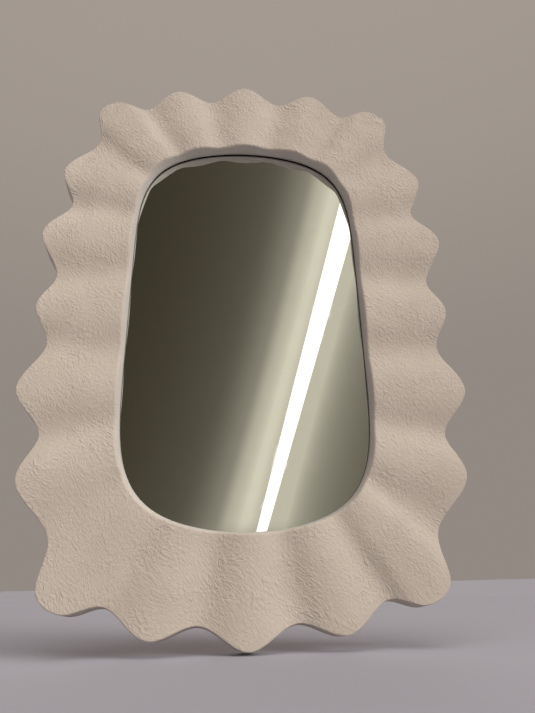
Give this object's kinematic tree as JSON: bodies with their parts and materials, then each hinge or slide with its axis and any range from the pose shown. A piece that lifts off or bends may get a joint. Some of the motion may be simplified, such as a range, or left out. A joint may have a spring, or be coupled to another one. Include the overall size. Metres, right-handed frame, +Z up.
{
  "type": "wall mirror",
  "caption": "Wall mirror: upright rounded glass in a broad frame with a scalloped edge and radial waves, rough pale paint, screwed backing board, hanging rings and rubber bumpers.",
  "frame": {"origin": "centre of the mirror in the plane of the wall, which the four bumpers touch", "axes": "+X to the right as the viewer sees it, +Y from the viewer towards the wall, +Z up; the glass faces -Y"},
  "size_m": [0.4206, 0.0296, 0.6044],
  "materials": {
    "frame_paint": "matt warm off-white paint, stippled",
    "gasket_foam": "matt black foam strip",
    "mirror": "polished silvered glass",
    "card": "grey card",
    "hardboard": "smooth brown hardboard",
    "zinc_screw": "zinc plated",
    "hanger_steel": "nickel plated",
    "bumper_rubber": "matt black rubber"
  },
  "bodies": {
    "mirror": {"frame": "frame_paint", "glass_gasket": "gasket_foam", "mirror_glass": "mirror", "backing_card": "card", "backing_board": "hardboard", "board_screws": "zinc_screw", "hanger_screws": "zinc_screw", "hanger_strap_left": "hanger_steel", "hanger_strap_right": "hanger_steel", "bumper_top_left": "bumper_rubber", "bumper_top_right": "bumper_rubber", "bumper_bottom_left": "bumper_rubber", "bumper_bottom_right": "bumper_rubber"},
    "ring_left": {"hanger_ring_left": "hanger_steel"},
    "ring_right": {"hanger_ring_right": "hanger_steel"}
  },
  "joints": [
    {"name": "ring_left_swing", "type": "hinge", "parent": "mirror", "child": "ring_left", "pos_m": [-0.16255, -0.00265, 0.135], "axis": [1, 0, 0], "range_deg": [0, 180]},
    {"name": "ring_right_swing", "type": "hinge", "parent": "mirror", "child": "ring_right", "pos_m": [0.16255, -0.00265, 0.135], "axis": [1, 0, 0], "range_deg": [0, 180]}
  ]
}
